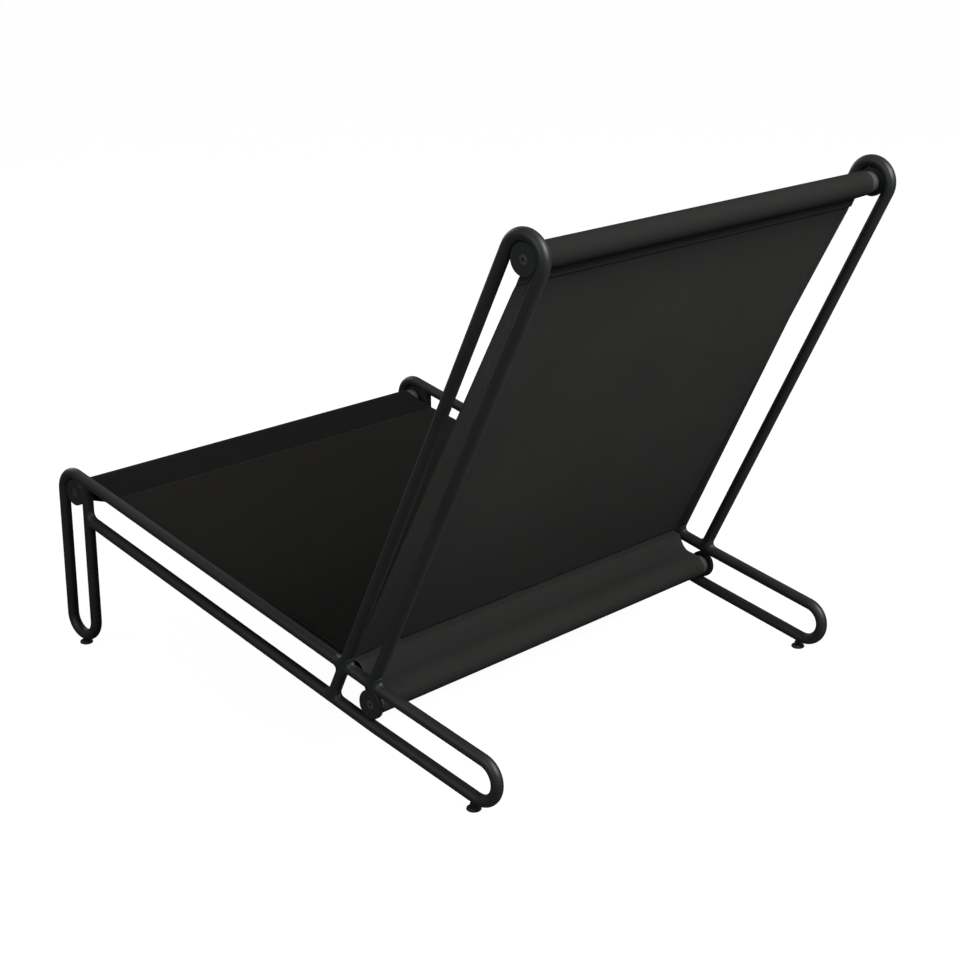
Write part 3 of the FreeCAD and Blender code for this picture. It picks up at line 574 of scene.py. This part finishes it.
class Sheet:
    """A grid of cloth that follows a line and knows where each of its points is."""

    def __init__(self, line, sitter, half_width, wave, doubled_and_shade):
        self.doubled_and_shade = doubled_and_shade
        self.line = line
        self.normals = normals_of(line, sitter)
        steps = np.linalg.norm(np.diff(line, axis=0), axis=1)
        self.runs = np.concatenate([[0.0], np.cumsum(steps)])
        self.length = self.runs[-1]
        self.half_width = half_width
        self.wave = wave

    def at(self, share, run, side=0.0):
        """A point: share runs -1..1 across, run is in metres along, side lifts it along the normal."""
        y, z, ny, nz = (np.interp(run, self.runs, c) for c in (*self.line.T, *self.normals.T))
        x = share * self.half_width(run) + SLIPPED
        lift = side + self.wave(x, run)
        return (x, y + ny * lift, z + nz * lift)

    def mesh(self, name, material, hem_side=-1):
        """hem_side says on which face the folded hems stand: +1 the sitter's, -1 the other."""
        reference = self.half_width(self.length / 2)
        shares = columns(reference) / reference
        inset = (1 - np.abs(shares)) * reference
        hem = np.clip((HEM_WIDTH + HEM_STEP - inset) / HEM_STEP, 0, 1)
        rounding = np.clip(inset / HEM_STEP, 0.25, 1) ** 0.5
        points, uvs = [], []
        for face in (1, -1):
            for run in self.runs:
                for share, fold, rounded in zip(shares, hem, rounding):
                    extra = HEM_EXTRA * fold if face == hem_side else 0.0
                    points.append(self.at(share, run, face * (CLOTH_THICK / 2 + extra) * rounded))
                    uvs.append((share * reference, run))
        rows, cols = len(self.runs), len(shares)
        under = rows * cols
        faces = []
        for i in range(rows - 1):
            for j in range(cols - 1):
                a = i * cols + j
                quad = (a, a + 1, a + cols + 1, a + cols)
                faces.append(quad)
                faces.append(tuple(under + v for v in quad[::-1]))
        rim = list(range(cols))
        rim += [i * cols + cols - 1 for i in range(1, rows)]
        rim += [(rows - 1) * cols + j for j in range(cols - 2, -1, -1)]
        rim += [i * cols for i in range(rows - 2, 0, -1)]
        for a, b in zip(rim, rim[1:] + rim[:1]):
            faces.append((a, under + a, under + b, b))
        piece = mesh_object(name, points, faces, material)
        layer = piece.data.uv_layers.new(name="cloth")
        corners = np.empty(len(piece.data.loops), dtype=np.int32)
        piece.data.loops.foreach_get("vertex_index", corners)
        layer.data.foreach_set("uv", np.array(uvs, dtype=np.float32)[corners].ravel())
        worn = piece.data.attributes.new("rubbed", "FLOAT", "POINT")
        edge = np.clip(1 - inset / (3 * MM), 0, 1) * 0.8 + hem * 0.15
        worn.data.foreach_set("value", np.tile(edge, rows * 2).astype(np.float32))
        # Per-point weight for painted shade and for cloth in two layers.
        doubled_shade_weight = piece.data.attributes.new("doubled_shade_weight", "FLOAT", "POINT")
        inside = np.array([self.doubled_and_shade(run) for run in self.runs], dtype=np.float32)
        doubled_shade_weight.data.foreach_set("value", np.tile(np.repeat(inside, cols), 2))
        recalc = bmesh.new()
        recalc.from_mesh(piece.data)
        bmesh.ops.recalc_face_normals(recalc, faces=recalc.faces)
        recalc.to_mesh(piece.data)
        recalc.free()
        return piece


# %% [markdown]
# ## The waves in the cloth
# A stretched sling is nearly flat. What breaks it is the pull: long soft flutes that fan from the
# crease up the back, small puckers along every seam, and a shallow sag in the seat. Smooth noise
# stretched along the pull gives the flutes, and a finer one that dies away from the seam gives the
# puckers.

# %% Waves
def flute(x, run, width, length, seed):
    return noise.noise(Vector((x / width, run / length, seed)))


def pucker(x, run, seam_run, reach, pitch, seed):
    """Small gathers beside a seam."""
    fade = math.exp(-abs(run - seam_run) / reach)
    return fade * noise.noise(Vector((x / pitch, seam_run * 10, seed)))


def smooth_step(value, low, high):
    t = min(max((value - low) / (high - low), 0.0), 1.0)
    return t * t * (3 - 2 * t)


# %% [markdown]
# ## The back
# The back is one length of cloth. It starts at the crease, runs straight up just in front of the top
# tube's axis, goes over the tube and comes down behind. The two plies meet 27 mm below the axis and
# are sewn flat together from there to the end of the flap, 12 mm further down. That makes the sleeve.

# %% Back cloth
SLEEVE_EASE = 0.6 * MM
PLY_START = 0.5 * MM
SEWN_IN = 5.0 * MM
FLAP_SEWN = 12.0 * MM
PANEL_OFFSET = 4.0 * MM
BACK_MEETS = 27.0 * MM


def panel_frame(axis, offset_side):
    """Along and sitter-side unit vectors of a panel from the crease, passing PANEL_OFFSET from an axis."""
    to_axis = axis - CREASE
    span = np.linalg.norm(to_axis)
    turn = offset_side * math.asin(PANEL_OFFSET / span)
    c, s = math.cos(turn), math.sin(turn)
    way = np.array([[c, -s], [s, c]]) @ (to_axis / span)
    return way, offset_side * np.array([-way[1], way[0]])


back_way, back_sitter = panel_frame(TOP, 1)
back_reach = (TOP - CREASE).dot(back_way)
back_seam = CREASE + back_way * (back_reach - BACK_MEETS)
round_top = TUBE_R + SLEEVE_EASE + CLOTH_THICK
behind = back_seam - back_sitter * (CLOTH_THICK + 0.1 * MM)
sleeve = loop_round(back_seam, TOP, round_top, back_sitter, behind)
flap_end = behind - back_way * FLAP_SEWN - back_sitter * 0.5 * MM
back_line = np.vstack([CREASE + back_way * PLY_START, sleeve, flap_end])
back_line = relaxed(resample(back_line, 0.5 * MM), 4)
back_line = resample(back_line, 2.0 * MM)
back_seam_run = back_reach - BACK_MEETS - PLY_START
flap_run = back_seam_run - FLAP_SEWN
back_sheet_end = float(np.linalg.norm(np.diff(back_line, axis=0), axis=1).sum())


def back_half_width(run):
    opening = 330.0 - 0.5 * smooth_step(run, 0.0, 0.09)
    closing = 4.5 * smooth_step(run, flap_run - 0.012, back_seam_run + 0.008)
    flap = 5.5 * smooth_step(run, back_sheet_end - FLAP_SEWN - 0.006, back_sheet_end - FLAP_SEWN + 0.002)
    return (opening - closing + flap) * MM


def back_wave(x, run):
    panel = 1 - smooth_step(run, back_seam_run - 0.05, back_seam_run)
    low = math.exp(-run / 0.22)
    folds = 1.7 * flute(x, run + x * 0.15, 0.075, 0.42, 3.1) * (0.25 + low)
    broad = 2.6 * flute(x, run, 0.30, 0.55, 8.4) * math.sin(math.pi * min(run / back_seam_run, 1.0))
    gathers = 0.9 * pucker(x, run, 0.0, 0.035, 0.022, 1.7)
    return (panel * (folds + broad) + gathers) * MM


def back_painted_shade(run):
    """Painted shade: a darker sleeve, a darker foot near the crease and a dark line at the crease itself."""
    sleeve_on = smooth_step(run, back_seam_run - 0.002, back_seam_run + 0.002)
    sleeve_off = smooth_step(run, back_sheet_end - FLAP_SEWN - 0.002, back_sheet_end - FLAP_SEWN)
    foot = 0.4 * (1 - smooth_step(run, 0.0, 0.30))
    return min(1.0, sleeve_on - sleeve_off + foot + 1 - smooth_step(run, 0.001, 0.004))


back_sheet = Sheet(back_line, 1, back_half_width, back_wave, back_painted_shade)
back_cloth = back_sheet.mesh("back_cloth", CLOTH)
print("back cloth", round(back_sheet.length, 3), "m long,", len(back_cloth.data.polygons), "faces")

# %% [markdown]
# ## The seat
# The seat runs from the same crease to the front tube, over it and back underneath to a seam 60 mm
# behind. It is not quite straight: its own weight and use have given it a shallow sag, deepest in the
# middle.

# %% Seat cloth
SEAT_FLAP = 60.0 * MM
SEAT_SAG = 1.5 * MM
CORNER_DROOP = 6.0 * MM
seat_way, seat_sitter = panel_frame(FRONT, -1)
seat_reach = (FRONT - CREASE).dot(seat_way)
seat_seam = CREASE + seat_way * (seat_reach - SEAT_FLAP) + seat_sitter * 2.4 * MM
round_front = TUBE_R + 0.4 * MM + CLOTH_THICK / 2
below = seat_seam - seat_sitter * (CLOTH_THICK + 0.15 * MM)
seat_start = CREASE + seat_way * PLY_START
shares = np.linspace(0.0, 1.0, 60)[:, None]
sagging = seat_start + shares * (seat_seam - seat_start) - seat_sitter * SEAT_SAG * 4 * shares * (1 - shares)
seat_line = np.vstack([sagging[:-1], loop_round(seat_seam, FRONT, round_front, seat_sitter, below),
                       below - seat_way * SEWN_IN])
seat_line = resample(relaxed(resample(seat_line, 1.0 * MM), 6), ROW_STEP)
seat_seam_run = float(np.linalg.norm(seat_seam - seat_start)) + 0.2 * MM


def seat_half_width(run):
    opening = 330.6 - 1.2 * smooth_step(run, 0.12, 0.3)
    closing = 4.5 * smooth_step(run, seat_seam_run - 0.02, seat_seam_run + 0.03)
    return (opening - closing) * MM


def seat_wave(x, run):
    panel = 1 - smooth_step(run, seat_seam_run - 0.06, seat_seam_run)
    bowl = -9.0 * (1 - (x / 0.33) ** 2) * math.sin(math.pi * min(run / seat_seam_run, 1.0))
    folds = 1.3 * flute(x, run, 0.10, 0.5, 5.2)
    gathers = 0.9 * pucker(x, run, 0.0, 0.035, 0.022, 2.7)
    near_edge = smooth_step(abs(x), 0.310, 0.332)
    near_crease = smooth_step(run, 0.0, 0.015) * (1 - smooth_step(run, 0.04, 0.16))
    droop = CORNER_DROOP * near_edge * near_crease
    return (panel * (bowl + folds) + gathers) * MM - droop


def seat_doubled(run):
    return smooth_step(run, seat_seam_run - 0.001, seat_seam_run + 0.001)


seat_sheet = Sheet(seat_line, -1, seat_half_width, seat_wave, seat_doubled)
seat_cloth = seat_sheet.mesh("seat_cloth", SHADED_SEAT_CLOTH)
print("seat cloth", round(seat_sheet.length, 3), "m long,", len(seat_cloth.data.polygons), "faces")

# %% [markdown]
# ## The tie band
# Below the crease a narrow band goes down round the lower tube and comes back up. It holds the crease
# down, so it is always in tension, and it creases softly where the pull changes.

# %% Tie band
lower_way = (LOWER - CREASE) / np.linalg.norm(LOWER - CREASE)
lower_sitter = np.array([-lower_way[1], lower_way[0]])
band_top = CREASE + lower_way * PLY_START
round_lower = TUBE_R + 0.4 * MM + CLOTH_THICK / 2
band_start = band_top + lower_sitter * 0.7 * MM
band_end = band_top - lower_sitter * 0.7 * MM
band_line = loop_round(band_start, LOWER, round_lower, lower_sitter, band_end)
band_line = resample(relaxed(resample(band_line, 1.0 * MM), 3), 2.5 * MM)
band_end_run = float(np.linalg.norm(np.diff(band_line, axis=0), axis=1).sum())


def band_half_width(run):
    from_crease = min(run, band_end_run - run)
    waist = 2.5 * smooth_step(from_crease, 0.0, 0.03)
    flare = 4.0 * smooth_step(from_crease, 0.034, 0.062)
    return (329.5 - waist + flare) * MM


def band_wave(x, run):
    ply = math.sin(math.pi * run / 0.055) if run < 0.055 else 0.0
    roll = 3.2 * math.exp(-(((run - 0.012) / 0.007) ** 2))
    hollow = 4.8 * math.exp(-(((run - 0.035) / 0.012) ** 2))
    folds = 0.8 * flute(x, run * 2, 0.16, 0.05, 6.6)
    gathers = 0.6 * pucker(x, run, 0.0, 0.02, 0.02, 4.7) * smooth_step(run, 0.0, 0.006)
    return (roll - hollow + ply * folds + gathers) * MM


def band_doubled_and_hollow_shade(run):
    """The whole band is two layers of cloth and is painted darker; the hollow gets extra painted shade."""
    return 0.8 + 0.2 * math.exp(-(((run - 0.032) / 0.012) ** 2))


band_sheet = Sheet(band_line, 1, band_half_width, band_wave, band_doubled_and_hollow_shade)
band_cloth = band_sheet.mesh("tie_band", CLOTH)
print("tie band", round(band_sheet.length, 3), "m long,", len(band_cloth.data.polygons), "faces")

# %% [markdown]
# ## The crease seam
# Where seat, back and band meet, their edges are folded together and oversewn into a firm rolled
# seam. It is a flattened roll, not a perfect rod: it is thicker between stitches and wanders by a
# fraction of a millimetre. The roll lies on the sitter's side, so from behind only a thin dark line
# shows.

# %% Rolled seam
ROLL_HALF = 327.5 * MM
ROLL_AT = CREASE + np.array([-1.4, 0.6]) * MM
ROLL_STEPS = 260
ROLL_SIDES = 14
points, faces = [], []
for k in range(ROLL_STEPS + 1):
    x = SLIPPED - ROLL_HALF + 2 * ROLL_HALF * k / ROLL_STEPS
    plump = 1 + 0.07 * math.sin(2 * math.pi * x / (6 * MM)) + 0.08 * noise.noise(Vector((x * 60, 0.3, 0.0)))
    end = min(1.0, math.sqrt(max(0.02, (ROLL_HALF - abs(x - SLIPPED)) / (2 * MM))))
    for n in range(ROLL_SIDES):
        turn = 2 * math.pi * n / ROLL_SIDES
        radial = np.array([math.cos(turn) * 1.9, math.sin(turn) * 1.5]) * MM * plump * end
        points.append((x, ROLL_AT[0] + radial[0], ROLL_AT[1] + radial[1]))
for k in range(ROLL_STEPS):
    for n in range(ROLL_SIDES):
        a, b = k * ROLL_SIDES + n, k * ROLL_SIDES + (n + 1) % ROLL_SIDES
        faces.append((a, b, b + ROLL_SIDES, a + ROLL_SIDES))
faces.append(tuple(range(ROLL_SIDES)))
faces.append(tuple(ROLL_STEPS * ROLL_SIDES + n for n in range(ROLL_SIDES)))
rolled_seam = mesh_object("rolled_seam", points, faces, CLOTH)
roll_map = rolled_seam.data.uv_layers.new(name="cloth")
for corner in rolled_seam.data.loops:
    x, y, z = rolled_seam.data.vertices[corner.vertex_index].co
    roll_map.data[corner.index].uv = (x, math.atan2(z - ROLL_AT[1], y - ROLL_AT[0]) * 1.8 * MM)
face_outwards(rolled_seam)
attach(rolled_seam, "chair")
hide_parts("crease_seam")

# %% [markdown]
# ## Stitches
# A stitch repeats every few millimetres along a line, which is what Geometry Nodes is for. The tree
# takes a line, puts points on it at the stitch pitch and sets a small grain-shaped loop of thread on
# each, turned along the line.

# %% Stitch tree
STITCH_PITCH = 4.2 * MM


def stitch_tree():
    tree = bpy.data.node_groups.new("stitch_row", "GeometryNodeTree")
    face = tree.interface
    face.new_socket("Seam lines", in_out="INPUT", socket_type="NodeSocketGeometry")
    sizes = {"Stitch pitch": STITCH_PITCH, "Stitch length": 3.3 * MM, "Thread width": 0.75 * MM}
    for name, value in sizes.items():
        face.new_socket(name, in_out="INPUT", socket_type="NodeSocketFloat").default_value = value
    face.new_socket("Stitches", in_out="OUTPUT", socket_type="NodeSocketGeometry")
    add, link = tree.nodes.new, tree.links.new
    given, result = add("NodeGroupInput"), add("NodeGroupOutput")
    to_curve, spaced = add("GeometryNodeMeshToCurve"), add("GeometryNodeResampleCurve")
    spaced.mode = "LENGTH"
    link(given.outputs["Seam lines"], to_curve.inputs["Mesh"])
    link(to_curve.outputs["Curve"], spaced.inputs["Curve"])
    link(given.outputs["Stitch pitch"], spaced.inputs["Length"])
    grain, size = add("GeometryNodeMeshIcoSphere"), add("ShaderNodeCombineXYZ")
    grain.inputs["Radius"].default_value = 0.5
    grain.inputs["Subdivisions"].default_value = 2
    link(given.outputs["Thread width"], size.inputs["X"])
    link(given.outputs["Thread width"], size.inputs["Y"])
    link(given.outputs["Stitch length"], size.inputs["Z"])
    along, turned = add("GeometryNodeInputTangent"), add("FunctionNodeAlignRotationToVector")
    turned.axis = "Z"
    link(along.outputs["Tangent"], turned.inputs["Vector"])
    placed, real = add("GeometryNodeInstanceOnPoints"), add("GeometryNodeRealizeInstances")
    link(spaced.outputs["Curve"], placed.inputs["Points"])
    link(grain.outputs["Mesh"], placed.inputs["Instance"])
    link(turned.outputs["Rotation"], placed.inputs["Rotation"])
    link(size.outputs["Vector"], placed.inputs["Scale"])
    coloured = add("GeometryNodeSetMaterial")
    coloured.inputs["Material"].default_value = THREAD
    link(placed.outputs["Instances"], real.inputs["Geometry"])
    link(real.outputs["Geometry"], coloured.inputs["Geometry"])
    link(coloured.outputs["Geometry"], result.inputs["Stitches"])
    return tree


STITCH_TREE = stitch_tree()


def sew(name, lines, pitch=STITCH_PITCH):
    """Stitches along polylines, as one plain mesh."""
    points, edges = [], []
    for line in lines:
        edges += [(len(points) + k, len(points) + k + 1) for k in range(len(line) - 1)]
        points += line
    guide = bpy.data.meshes.new(f"{name}_guide")
    guide.from_pydata(points, edges, [])
    holder = bpy.data.objects.new(f"{name}_guide", guide)
    bpy.context.scene.collection.objects.link(holder)
    rule = holder.modifiers.new("stitches", "NODES")
    rule.node_group = STITCH_TREE
    inputs = [item for item in STITCH_TREE.interface.items_tree if item.in_out == "INPUT"]
    sockets = {item.name: item.identifier for item in inputs}
    rule[sockets["Stitch pitch"]] = pitch
    bpy.context.view_layer.update()
    graph = bpy.context.evaluated_depsgraph_get()
    mesh = bpy.data.meshes.new_from_object(holder.evaluated_get(graph), depsgraph=graph)
    bpy.data.objects.remove(holder)
    piece = bpy.data.objects.new(name, mesh)
    bpy.context.scene.collection.objects.link(piece)
    mesh.polygons.foreach_set("use_smooth", [True] * len(mesh.polygons))
    print(name, len(mesh.polygons), "faces")
    return piece


# %% [markdown]
# Each panel is sewn along its sleeve, down both hems and beside the crease. Hems show on both faces,
# so their lines are run twice, once on each side of the cloth.

# %% Sew the panels
HEM_SEAM = 10.5 * MM
LINE_STEP = 6 * MM
CREASE_SEAM = 6 * MM


def cross_line(sheet, run, lift):
    count = int(2 * sheet.half_width(run) / LINE_STEP)
    return [sheet.at(share, run, lift) for share in np.linspace(-0.992, 0.992, count)]


def hem_lines(sheet, start, end, hem_side):
    lines = []
    for edge in (-1, 1):
        for face in (-1, 1):
            lift = face * (CLOTH_THICK / 2 + (HEM_EXTRA if face == hem_side else 0.0))
            line = []
            for run in np.arange(start, end, LINE_STEP):
                share = edge * (1 - HEM_SEAM / sheet.half_width(run))
                line.append(sheet.at(share, run, lift))
            lines.append(line)
    return lines


def panel_stitches(name, sheet, seam_runs, flap_runs, hem_side=-1):
    """seam_runs show on the sitter's face; flap_runs on the outer face of the flap behind."""
    face = CLOTH_THICK / 2
    lines = hem_lines(sheet, CREASE_SEAM, seam_runs[0] - 3 * MM, hem_side)
    lines += [cross_line(sheet, run, face) for run in (*seam_runs, *flap_runs)]
    lines.append(cross_line(sheet, CREASE_SEAM, face))
    return sew(name, lines)


back_stitches = panel_stitches(
    "back_stitches", back_sheet,
    (flap_run + 2 * MM, back_seam_run - 1.5 * MM),
    (back_sheet.length - FLAP_SEWN + 1.5 * MM, back_sheet.length - 2 * MM),
)
seat_stitches = panel_stitches("seat_stitches", seat_sheet, (seat_seam_run,), (seat_sheet.length - SEWN_IN,))
band_seam = band_sheet.length - CREASE_SEAM
band_stitches = sew("band_stitches", [cross_line(band_sheet, band_seam, CLOTH_THICK / 2)])

# %% [markdown]
# ## Put the sling on the chair's body
# Each cloth piece and its stitches ride on the chair's body, and the solids of the engineering model
# that they stand for are hidden. The width of each row is worked out but not kept.

SLING = [
    (back_cloth, back_sheet, back_stitches, ("sling_back", "top_sleeve"), "top_tube"),
    (seat_cloth, seat_sheet, seat_stitches, ("sling_seat", "front_sleeve"), "front_tube"),
    (band_cloth, band_sheet, band_stitches, ("sling_tie", "lower_sleeve"), "lower_tube"),
]
for cloth_piece, sheet, stitches, nodes, tube in SLING:
    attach(cloth_piece, "chair")
    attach(stitches, "chair")
    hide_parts(*nodes)
    widths = [2 * sheet.half_width(run) for run in sheet.runs]

# %% [markdown]
# ## Studio
# A black chair is seen only by what it reflects. So the sweep is white to the eye but throws little
# light back. One big soft light stands high behind the chair. It rakes the back and leaves the seat
# in the shade. A weak one stands on the sitter's left and another in front, so no side is lost in
# black.

# %% Floor, lights and world
SWEEP_WHITE = 0.965
FILL = 0.27


def stage_floor():
    floor_mesh = bpy.data.meshes.new("floor")
    half = 60.0
    corners = [(-half, -half, 0), (half, -half, 0), (half, half, 0), (-half, half, 0)]
    floor_mesh.from_pydata(corners, [], [(0, 1, 2, 3)])
    floor = bpy.data.objects.new("floor", floor_mesh)
    bpy.context.scene.collection.objects.link(floor)
    paper = Recipe("paper_sweep")
    seen = paper.node("ShaderNodeLightPath").outputs["Is Camera Ray"]
    paper.set(
        Base_Color=paper.blend(seen, (0.12, 0.12, 0.12), (0.10, 0.10, 0.10)),
        Roughness=0.9,
        Specular_IOR_Level=0.0,
        Emission_Color=(1.0, 1.0, 1.0),
        Emission_Strength=paper.math("MULTIPLY", seen, SWEEP_WHITE),
    )
    floor_mesh.materials.append(paper.material)


def softbox(name, place, target, size, power):
    lamp = bpy.data.lights.new(name, "AREA")
    lamp.shape = "RECTANGLE"
    lamp.size, lamp.size_y = size
    lamp.energy = power
    holder = bpy.data.objects.new(name, lamp)
    holder.location = place
    holder.rotation_euler = (Vector(target) - Vector(place)).to_track_quat("-Z", "Y").to_euler()
    bpy.context.scene.collection.objects.link(holder)


stage_floor()
softbox("key_box", (-0.2, 2.3, 2.15), (0.0, 0.2, 0.35), (1.3, 1.3), 122.0)
softbox("side_box", (3.0, 0.2, 1.5), (0.0, 0.0, 0.3), (1.8, 1.2), 25.0)
softbox("front_box", (-0.4, -3.0, 1.5), (0.0, 0.0, 0.3), (1.8, 1.2), 24.0)
world = bpy.data.worlds.new("studio")
world.use_nodes = True
sky = world.node_tree
path, glow = sky.nodes.new("ShaderNodeLightPath"), sky.nodes.new("ShaderNodeMapRange")
glow.inputs["To Min"].default_value = FILL
glow.inputs["To Max"].default_value = 1.0
sky.links.new(path.outputs["Is Camera Ray"], glow.inputs["Value"])
sky.links.new(glow.outputs["Result"], sky.nodes["Background"].inputs["Strength"])
sky.nodes["Background"].inputs["Color"].default_value = (1.0, 1.0, 1.0, 1.0)
bpy.context.scene.world = world
bpy.context.scene.view_settings.view_transform = "Standard"

# %% [markdown]
# ## Camera
# The portrait is taken from behind the sitter's left shoulder, a little above the back, with a
# moderately long lens so that the far side frame stays nearly parallel to the near one.

# %% Camera
camera_data = bpy.data.cameras.new("portrait")
camera_data.sensor_width = 36.0
camera_data.lens = 73.649
camera = bpy.data.objects.new("portrait", camera_data)
bpy.context.scene.collection.objects.link(camera)
right = Vector((-0.68235, 0.73101, -0.00526)).normalized()
ahead = Vector((-0.69472, -0.65069, -0.30656)).normalized()
upward = right.cross(ahead).normalized()
turned = Matrix((right, upward, -ahead)).transposed().to_4x4()
camera.matrix_world = Matrix.Translation((1.89214, 1.81274, 1.10405)) @ turned
bpy.context.scene.camera = camera
